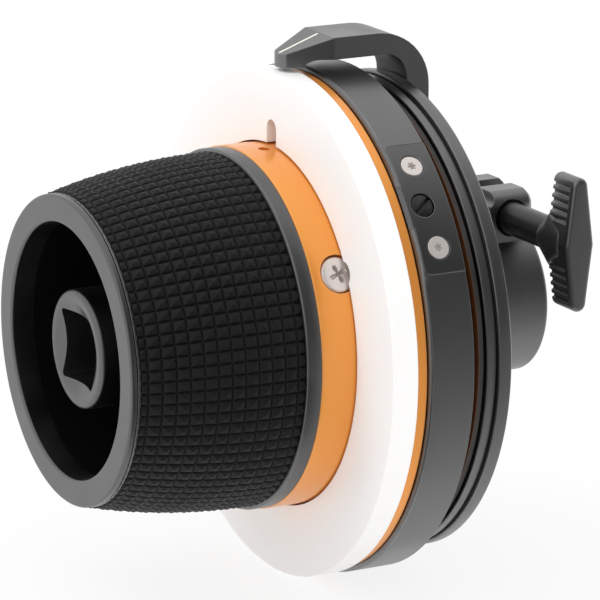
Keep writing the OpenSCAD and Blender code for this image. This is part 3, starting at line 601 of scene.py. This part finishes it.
@dataclass
class KnurledGrip:
    """The knob's moulded rubber grip, with its square pyramids as real geometry."""

    rear_y: float = -54.18
    length: float = 26.9
    pitch: float = 2.23
    rear_r: float = 29.3
    front_r: float = 25.7
    wall: float = 2.2
    around: int = 88
    first_clock: float = 2.3
    seat: float = 0.02
    # the front edge has no other ring of vertices nearer than this
    front_margin: float = 0.1
    sharp_deg: float = 12.0
    # across one pyramid: valley, shoulder, tip and shoulder, each in pitches and in mm below the tip
    cuts: tuple[tuple[float, float], ...] = ((0.0, 0.6), (0.13, 0.27), (0.5, 0.0), (0.87, 0.27))

    def tip_radius(self, u: float) -> float:
        """The grip's radius over its tips, u in front of its rear edge."""
        return self.rear_r - (self.rear_r - self.front_r) * (u / self.length) ** 2

    def point(self, u: float, radius: float, clock: float) -> Point:
        """A point u in front of the rear edge, with its clock counted from +Z towards +X."""
        a = math.radians(clock)
        return (radius * math.sin(a), self.rear_y - u, radius * math.cos(a))

    def rows(self) -> list[tuple[float, float]]:
        """The rings of vertices along the grip, from a row of tips at its rear edge.

        Returns:
            Each ring's distance from the rear edge and its depth below the tips.
        """
        count = int(self.length / self.pitch) + 1
        # the first tip, half a pitch from its valley, lies on the edge
        every = [(self.pitch * (i + at - 0.5), low) for i in range(count) for at, low in self.cuts]
        inner = [(u, low) for u, low in every if 0 <= u < self.length - self.front_margin]
        return [*inner, (self.length, self.cuts[0][1])]

    def build(self) -> bpy.types.Object:
        """Builds the closed sleeve.

        Returns:
            The piece, standing for the CAD sleeve.
        """
        rows = self.rows()
        step = 360 / self.around
        columns = [
            (self.first_clock + step * (i + at), low) for i in range(self.around) for at, low in self.cuts
        ]
        count = len(columns)
        points: list[Point] = []
        for u, row_low in rows:
            for clock, column_low in columns:
                points.append(self.point(u, self.tip_radius(u) - max(row_low, column_low), clock))
        for u, tip in ((self.length, self.front_r), (0.0, self.rear_r)):
            points += [self.point(u, tip - self.wall + self.seat, clock) for clock, _ in columns]
        faces: list[tuple[int, ...]] = []
        for r in range(len(rows) + 2):
            nxt = (r + 1) % (len(rows) + 2)
            for i in range(count):
                j = (i + 1) % count
                a, b, c, d = r * count + i, r * count + j, nxt * count + j, nxt * count + i
                # the first ring is a tip, the third of the four cuts
                across, along = i % len(self.cuts), (r + 2) % len(self.cuts)
                # the facets fold along the pyramid's diagonals
                if r < len(rows) - 2 and across == along:
                    faces += [(a, b, c), (a, c, d)]
                elif r < len(rows) - 2 and across + along == len(self.cuts) - 1:
                    faces += [(a, b, d), (b, c, d)]
                else:
                    faces.append((a, b, c, d))
        return mesh_piece("grip_sleeve", points, faces, self.sharp_deg)


# ---- Screws ----


class Drive(Enum):
    """The recess that turns a screw."""

    CROSS = "cross"
    SIX_LOBE = "six-lobe"


@dataclass
class Screw:
    """One screw along its own +Z, with a real recess in its head.

    Heights are counted from the main axis, and the profile gives (height, radius) pairs.
    """

    profile: list[tuple[float, float]]
    top: float
    drive: Drive
    drive_r: float
    drive_depth: float
    segments: int = 56
    recess_points: int = 48
    # the cross's core as a share of its radius, and the cosine of the angle to an arm's side
    cross_core: float = 0.3
    cross_side: float = 0.9
    lobe_share: float = 0.18

    def recess(self) -> bpy.types.Object:
        """Builds the tapered plug that cuts the recess.

        Returns:
            The cutter, a little higher than the head.
        """
        rings: list[list[Point]] = []
        # from the recess's floor to just above the head: a share of its width, and the height
        levels = ((0.55, self.top - self.drive_depth), (0.85, self.top - 0.25), (1.05, self.top + 0.3))
        for share, z in levels:
            ring: list[Point] = []
            for i in range(self.recess_points):
                a = 2 * math.pi * i / self.recess_points
                if self.drive is Drive.CROSS:
                    near = max(abs(math.cos(a)), abs(math.sin(a)))
                    arm = max(0.0, (near - self.cross_side) / (1 - self.cross_side)) ** 0.5
                    r = self.drive_r * (self.cross_core + (1 - self.cross_core) * arm)
                else:
                    r = self.drive_r * (1 - self.lobe_share + self.lobe_share * math.cos(6 * a))
                ring.append((share * r * math.cos(a), share * r * math.sin(a), z))
            rings.append(ring)
        return stack("recess", rings)

    def build(self, name: str, turn: float) -> bpy.types.Object:
        """Turns the profile and cuts the recess.

        Args:
            name: the new object's name.
            turn: how far the recess is turned, in degrees.

        Returns:
            The screw, standing on the origin.
        """
        rings = [[(x, y, z) for x, y in circle(r, self.segments)] for z, r in self.profile]
        body = stack(name, rings)
        tool = self.recess()
        tool.rotation_euler.z = math.radians(turn)
        combine(body, tool, "DIFFERENCE")
        crisp_edges(body)
        return body


@dataclass
class ScrewSet:
    """Equal screws set round the main axis, as one piece, with clocks counted from +X up."""

    name: str
    screw: Screw
    clocks: list[float]
    station: float
    turns: list[float]

    def build(self) -> bpy.types.Object:
        """Builds the screws in their holes.

        Returns:
            One object that holds them all.
        """
        work = bmesh.new()
        for clock, turn in zip(self.clocks, self.turns, strict=True):
            one = self.screw.build(self.name, turn)
            lean = Matrix.Rotation(math.radians(90 - clock), 4, "Y")
            one.data.transform(Matrix.Translation((0, self.station * MM, 0)) @ lean)
            work.from_mesh(one.data)
            bpy.data.objects.remove(one)
        mesh = bpy.data.meshes.new(self.name)
        work.to_mesh(mesh)
        work.free()
        obj = bpy.data.objects.new(self.name, mesh)
        bpy.context.scene.collection.objects.link(obj)
        crisp_edges(obj)
        return obj


def rounded_head(
    shank_r: float, shank_z: float, under: float, head_r: float, top: float, edge: float, dome: float
) -> list[tuple[float, float]]:
    """Profile of a screw with a rounded, slightly domed head.

    Args:
        shank_r: the shank's radius.
        shank_z: the shank's end.
        under: where the head starts.
        head_r: the head's radius.
        top: the head's highest point.
        edge: the radius of its rounded rim.
        dome: how far the middle stands above the rim.

    Returns:
        The profile as (height, radius) from the shank's end to the head's middle.
    """
    chamfer, steps = 0.2, 6
    out = [(shank_z, shank_r - chamfer), (shank_z + chamfer, shank_r), (under, shank_r), (under, head_r)]
    rim = top - dome
    for k in range(steps + 1):
        a = math.radians(90 * k / steps)
        out.append((rim - edge + edge * math.sin(a), head_r - edge + edge * math.cos(a)))
    out += [(rim + dome * (1 - s * s), (head_r - edge) * s) for s in (0.75, 0.5, 0.25, 0.05)]
    return out


def drum_screws() -> ScrewSet:
    """The three pan-head screws round the drum."""
    top = 29.88
    profile = rounded_head(
        shank_r=1.5, shank_z=21.22, under=27.98, head_r=3.0, top=top, edge=0.55, dome=0.15
    )
    screw = Screw(profile, top, Drive.CROSS, drive_r=1.75, drive_depth=1.2)
    return ScrewSet("drum_screw_set", screw, clocks=[29, 149, 269], station=-46.78, turns=[20, 65, 5])


def plate_screws() -> ScrewSet:
    """The two countersunk screws of the bridge plate."""
    top = 42.32
    shank = [(39.0, 0.8), (39.2, 1.0), (41.4, 1.0)]
    head = [(42.2, 1.82), (42.26, 1.85), (top, 1.75), (top, 0.1)]
    screw = Screw(shank + head, top, Drive.SIX_LOBE, drive_r=0.85, drive_depth=0.7)
    return ScrewSet("plate_screw_set", screw, clocks=[28.1, 47.5], station=-35.0, turns=[10, 35])


# ---- Clamp's T-handle ----


@dataclass
class THandle:
    """The cast T-handle: a tapered bar with finger grooves, and a boss round the clamp's screw."""

    axis_y: float = -4.2
    axis_z: float = 14.8
    base_x: float = 23.1
    depth: float = 6.6
    length: float = 22.3
    width: float = 5.3
    end_width: float = 2.8
    groove_z: float = 3.95
    groove_pitch: float = 1.37
    groove_count: int = 5
    groove_r: float = 0.42
    cap: float = 1.2
    edge: float = 0.75
    base_inset: float = 0.3
    boss_len: float = 2.3
    boss_z: float = 5.0
    # the boss's wall round the shank, where it starts and beside the bar
    boss_wall: float = 0.3
    boss_side: float = 0.17
    # 2 is an ellipse, and more is squarer
    boss_bulge: float = 2.8
    shank_r: float = 2.75
    seat: float = 0.02
    side_steps: int = 78
    end_steps: int = 12
    edge_steps: int = 5
    boss_points: int = 72
    sharp_deg: float = 28.0

    def outline(self) -> list[tuple[float, float, float]]:
        """Walks round the bar, with enough points for its grooves.

        Returns:
            Each point's y and z from the bar's middle, and how deep its groove is there.
        """
        r = self.end_width / 2
        c = self.length / 2 - r
        slope = (self.width / 2 - r) / c
        side: list[tuple[float, float, float]] = []
        for k in range(-self.side_steps + 1, self.side_steps):
            z = c * k / self.side_steps
            cut = 0.0
            for g in range(self.groove_count):
                off = abs(abs(z) - (self.groove_z + g * self.groove_pitch))
                if off < self.groove_r:
                    cut = math.sqrt(self.groove_r**2 - off**2)
            side.append((self.width / 2 - slope * abs(z), z, cut))
        out = list(side)
        for k in range(self.end_steps + 1):
            a = math.pi * k / self.end_steps
            out.append((r * math.cos(a), c + r * math.sin(a), 0.0))
        out += [(-y, -z, g) for y, z, g in side]
        for k in range(self.end_steps + 1):
            a = math.pi + math.pi * k / self.end_steps
            out.append((r * math.cos(a), -c + r * math.sin(a), 0.0))
        return out

    def ring(self, x: float, inset: float, grooved: float) -> list[Point]:
        """The bar's outline at one depth.

        Args:
            x: the depth.
            inset: how far it lies inside the full outline.
            grooved: from 0, smooth, to 1, with full grooves.

        Returns:
            The points, drawn in towards the bar's long axis.
        """
        points: list[Point] = []
        half = self.length / 2
        for y, z, cut in self.outline():
            pull = min(1.0, math.hypot(y, z) / half)
            side = math.copysign(1.0, y) if abs(y) > 1e-6 else 0.0
            near_end = min(1.0, max(0.0, (abs(z) - (half - self.end_width / 2)) / (self.end_width / 2)))
            dy = side * (inset * (1 - near_end * near_end) ** 0.5 + cut * grooved)
            dz = math.copysign(inset * near_end * pull, z)
            points.append((x, self.axis_y + y - dy, self.axis_z + z - dz))
        return points

    def round_body(self, name: str, x_from: float, x_to: float, r: float) -> bpy.types.Object:
        """A plain cylinder along X on the screw's axis.

        Args:
            name: the new object's name.
            x_from: where it starts.
            x_to: where it ends.
            r: its radius.

        Returns:
            The new object.
        """
        around = circle(r, self.boss_points)
        rings = [[(x, self.axis_y + y, self.axis_z + z) for y, z in around] for x in (x_from, x_to)]
        return stack(name, rings, self.sharp_deg)

    def boss(self) -> bpy.types.Object:
        """The web that widens from the round shank to the bar, and goes on round the screw's end.

        Returns:
            The new object.
        """
        start, side = self.shank_r + self.boss_wall, self.shank_r + self.boss_side
        # each station's distance past the bar's base, half-width, half-height and bulge
        stations: list[tuple[float, float, float, float]] = []
        for t in (0.0, 0.12, 0.3, 0.5, 0.7, 0.88, 1.0):
            half_y, half_z = start * (1 - t) + side * t, start * (1 - t) + self.boss_z * t
            stations.append((self.boss_len * (t - 1), half_y, half_z, 2.0 * (1 - t) + self.boss_bulge * t))
        # beside the bar it narrows towards a rounded nose
        beside = [(1.2, side, 4.3), (2.4, side, 3.5), (3.5, side, 3.0)]
        beside += [(3.8, self.shank_r, 2.8), (3.9, self.shank_r - 0.25, 2.6)]
        stations += [(past, half_y, half_z, self.boss_bulge) for past, half_y, half_z in beside]
        rings: list[list[Point]] = []
        for past, half_y, half_z, bulge in stations:
            x = self.base_x + past
            ring: list[Point] = []
            for c, s in circle(1.0, self.boss_points):
                k = (abs(c) ** bulge + abs(s) ** bulge) ** (-1 / bulge)
                ring.append((x, self.axis_y + half_y * k * c, self.axis_z + half_z * k * s))
            rings.append(ring)
        return stack("boss", rings, self.sharp_deg)

    def build(self) -> bpy.types.Object:
        """Builds the bar, joins its boss and bores it for the screw.

        Returns:
            The piece, standing for the CAD handle.
        """
        end_x = self.base_x + self.depth
        inset = self.base_inset
        grooves_end = end_x - self.cap
        stations = [
            # a softened edge at the base
            (self.base_x, inset, 1.0),
            (self.base_x + inset * 0.6, inset * 0.25, 1.0),
            (self.base_x + inset * 1.4, 0.0, 1.0),
            # the grooves run out
            (grooves_end - 0.25, 0.0, 1.0),
            (grooves_end - 0.08, 0.0, 0.75),
            (grooves_end, 0.0, 0.0),
        ]
        for k in range(self.edge_steps + 1):
            a = math.radians(90 * k / self.edge_steps)
            x = end_x - self.edge + self.edge * math.sin(a)
            stations.append((x, self.edge * (1 - math.cos(a)), 0.0))
        bar = stack("t_handle_bar", [self.ring(*station) for station in stations], self.sharp_deg)
        combine(bar, self.boss(), "UNION")
        bore = self.round_body(
            "bore", self.base_x - self.boss_len - 1, self.base_x + self.depth / 2, self.shank_r + self.seat
        )
        combine(bar, bore, "DIFFERENCE")
        crisp_edges(bar, self.sharp_deg)
        return bar


# ---- Stage ----


@dataclass
class Studio:
    """The plain pale floor, the surround, the soft lamp and the camera."""

    camera_at: Point = (566.1, -337.2, 173.6)
    right: Point = (0.4650, 0.8853, 0.0)
    back: Point = (0.8555, -0.4493, 0.2575)
    lens: float = 240.77
    sensor: float = 36.0
    sight_m: float = 20.0
    white: str = "#ffffff"
    floor_paint: str = "#f4f4f4"
    # the surround's strength as light on the object, beside the 1 that the camera sees
    sky: float = 1.06
    # gloss sees a darker side of the studio to the camera's right
    dark_side: Point = (0.84, 0.45, 0.30)
    dark_level: float = 0.16
    # and a dark patch under the camera
    dark_patch: Point = (0.93, -0.26, -0.26)
    # cosines of the angles at which each dark area starts, and at which both are at their darkest
    side_rim: float = 0.4
    patch_rim: float = 0.76
    dark_core: float = 0.98
    # the floor's directions are counted from here, so that it matches the surround
    middle: Point = (0.0, -40.0, 0.0)
    floor_gap: float = 0.3
    floor_r: float = 3000.0
    floor_points: int = 96
    # how much of the floor's brightness doesn't take shadow, as light and as seen
    even_light: float = 0.5
    even_seen: float = 0.85
    key_at: Point = (-250.0, -650.0, 900.0)
    key_size: float = 500.0
    key_watts: float = 3.0

    def camera(self) -> None:
        """Puts the camera where the photograph was taken from."""
        data = bpy.data.cameras.new("camera")
        data.sensor_fit = "HORIZONTAL"
        data.sensor_width = self.sensor
        data.lens = self.lens
        data.clip_end = self.sight_m
        cam = bpy.data.objects.new("camera", data)
        bpy.context.scene.collection.objects.link(cam)
        back = Vector(self.back).normalized()
        right = (Vector(self.right) - back * Vector(self.right).dot(back)).normalized()
        turn = Matrix((right, back.cross(right), back)).transposed()
        cam.matrix_world = Matrix.Translation(Vector(self.camera_at) * MM) @ turn.to_4x4()
        bpy.context.scene.camera = cam

    def world(self) -> None:
        """An even white surround, which gloss sees with its two dark areas."""
        world = bpy.data.worlds.new("surround")
        bpy.context.scene.world = world
        world.use_nodes = True
        tree = world.node_tree
        tree.nodes.clear()
        way = add_node(tree, "ShaderNodeTexCoord").outputs["Generated"]
        glow = add_node(
            tree, "ShaderNodeBackground", {}, {"Color": srgb(self.white), "Strength": self.level(tree, way)}
        )
        add_node(tree, "ShaderNodeOutputWorld", {}, {"Surface": glow.outputs[0]})

    def shade(
        self, tree: bpy.types.NodeTree, way: bpy.types.NodeSocket, centre: Point, rim: float, level: float
    ) -> bpy.types.NodeSocket:
        """A round, soft-edged dark area of the surround.

        Args:
            tree: the nodes that get it.
            way: the unit direction from the object.
            centre: the area's middle, as a direction.
            rim: the cosine of the angle at which it ends.
            level: the brightness at its middle.

        Returns:
            The brightness, 1 outside the area.
        """
        middle = Vector(centre).normalized()
        towards = add_node(tree, "ShaderNodeVectorMath", {"operation": "DOT_PRODUCT"}, {0: way, 1: middle})
        return add_node(
            tree,
            "ShaderNodeMapRange",
            {"interpolation_type": "SMOOTHSTEP"},
            {
                "Value": towards.outputs["Value"],
                "From Min": rim,
                "From Max": self.dark_core,
                "To Min": 1.0,
                "To Max": level,
            },
        ).outputs["Result"]

    def level(self, tree: bpy.types.NodeTree, way: bpy.types.NodeSocket) -> bpy.types.NodeSocket:
        """Brightness of the surround: white to the camera and glass, even as light, shaded in gloss.

        Args:
            tree: the nodes that get it.
            way: the unit direction from the object.

        Returns:
            The strength.
        """
        path = add_node(tree, "ShaderNodeLightPath").outputs
        side = self.shade(tree, way, self.dark_side, self.side_rim, self.dark_level)
        patch = self.shade(tree, way, self.dark_patch, self.patch_rim, 0.0)
        shaded = add_node(tree, "ShaderNodeMath", {"operation": "MINIMUM"}, {0: side, 1: patch}).outputs[0]
        ends = {"Value": path["Is Glossy Ray"], "To Min": self.sky, "To Max": shaded}
        gloss = add_node(tree, "ShaderNodeMapRange", {}, ends).outputs["Result"]
        sight = {0: path["Is Camera Ray"], 1: path["Is Transmission Ray"]}
        plain = add_node(tree, "ShaderNodeMath", {"operation": "MAXIMUM"}, sight).outputs[0]
        return add_node(
            tree, "ShaderNodeMapRange", {}, {"Value": plain, "To Min": gloss, "To Max": 1.0}
        ).outputs["Result"]

    def seen(self, tree: bpy.types.NodeTree) -> bpy.types.NodeSocket:
        """One where the camera, gloss or glass looks, and zero for light on the object.

        Args:
            tree: the nodes that get it.

        Returns:
            The value's output.
        """
        path = add_node(tree, "ShaderNodeLightPath").outputs
        either = {0: path["Is Camera Ray"], 1: path["Is Glossy Ray"]}
        both = add_node(tree, "ShaderNodeMath", {"operation": "MAXIMUM"}, either).outputs[0]
        every = {0: both, 1: path["Is Transmission Ray"]}
        return add_node(tree, "ShaderNodeMath", {"operation": "MAXIMUM"}, every).outputs[0]

    def floor(self, low: Vector) -> None:
        """Lays the floor just under the object.

        Args:
            low: the object's lowest corner, in metres.
        """
        z = low.z / MM - self.floor_gap
        ring = [(x, y, z) for x, y in circle(self.floor_r, self.floor_points)]
        obj = mesh_piece("floor", ring, [tuple(range(self.floor_points))])
        material = bpy.data.materials.new("white studio floor, painted")
        material.use_nodes = True
        tree = material.node_tree
        tree.nodes.clear()
        paint = add_node(tree, "ShaderNodeBsdfDiffuse", {}, {"Color": srgb(self.floor_paint)})
        at = add_node(tree, "ShaderNodeNewGeometry").outputs["Position"]
        out = add_node(
            tree, "ShaderNodeVectorMath", {"operation": "SUBTRACT"}, {0: at, 1: Vector(self.middle) * MM}
        ).outputs["Vector"]
        way = add_node(tree, "ShaderNodeVectorMath", {"operation": "NORMALIZE"}, {0: out}).outputs["Vector"]
        glow = add_node(
            tree, "ShaderNodeEmission", {}, {"Color": srgb(self.white), "Strength": self.level(tree, way)}
        )
        ends = {"Value": self.seen(tree), "To Min": self.even_light, "To Max": self.even_seen}
        share = add_node(tree, "ShaderNodeMapRange", {}, ends).outputs["Result"]
        both = add_node(tree, "ShaderNodeMixShader", {}, {0: share, 1: paint.outputs[0], 2: glow.outputs[0]})
        add_node(tree, "ShaderNodeOutputMaterial", {}, {"Surface": both.outputs[0]})
        obj.data.materials.append(material)
        obj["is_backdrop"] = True

    def lamp(self, name: str, at: Point, size: float, watts: float) -> None:
        """Adds one soft square lamp that faces the object.

        Args:
            name: the lamp's name.
            at: where it hangs.
            size: its side.
            watts: its power.
        """
        data = bpy.data.lights.new(name, "AREA")
        data.shape = "SQUARE"
        data.size = size * MM
        data.energy = watts
        obj = bpy.data.objects.new(name, data)
        bpy.context.scene.collection.objects.link(obj)
        obj.location = Vector(at) * MM
        # gloss sees the surround alone, so that no square highlight shows on flat faces
        obj.visible_glossy = False
        obj.rotation_mode = "QUATERNION"
        obj.rotation_quaternion = Vector(at).to_track_quat("Z", "Y")

    def build(self, low: Vector) -> None:
        """Sets the whole stage.

        Args:
            low: the object's lowest corner, in metres.
        """
        self.camera()
        self.world()
        self.floor(low)
        self.lamp("key", self.key_at, self.key_size, self.key_watts)
        bpy.context.scene.view_settings.view_transform = "Standard"


# ---- Assembly ----


def place(obj: bpy.types.Object, body: str, node: str, slot: Slot, paints: Paints) -> None:
    """Rides a new piece on its body in place of a CAD node, and finishes it.

    Args:
        obj: the piece.
        body: the CAD body that carries it.
        node: the CAD node it stands for.
        slot: the record's material slot.
        paints: the finishes.
    """
    paints.dress(obj, slot)
    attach(obj, body)
    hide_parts(node)
    LOG.info("built %s in place of %s", obj.name, node)


def main() -> None:
    """Builds every piece in order."""
    logging.basicConfig(level=logging.INFO, format="%(name)s: %(message)s")
    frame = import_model()
    Studio().build(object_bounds()[0])
    paints = Paints()
    FrameDressing(frame["record"], frame["nodes"]).dress(paints)
    place(KnurledGrip().build(), "knob", "rubber_grip", Slot.knob_rubber, paints)
    place(drum_screws().build(), "knob", "drum_screws", Slot.bright_steel, paints)
    place(plate_screws().build(), "stop", "bridge_screws", Slot.bright_steel, paints)
    place(THandle().build(), "clamp_handle", "t_handle", Slot.black_anodised, paints)


if __name__ == "__main__":
    main()
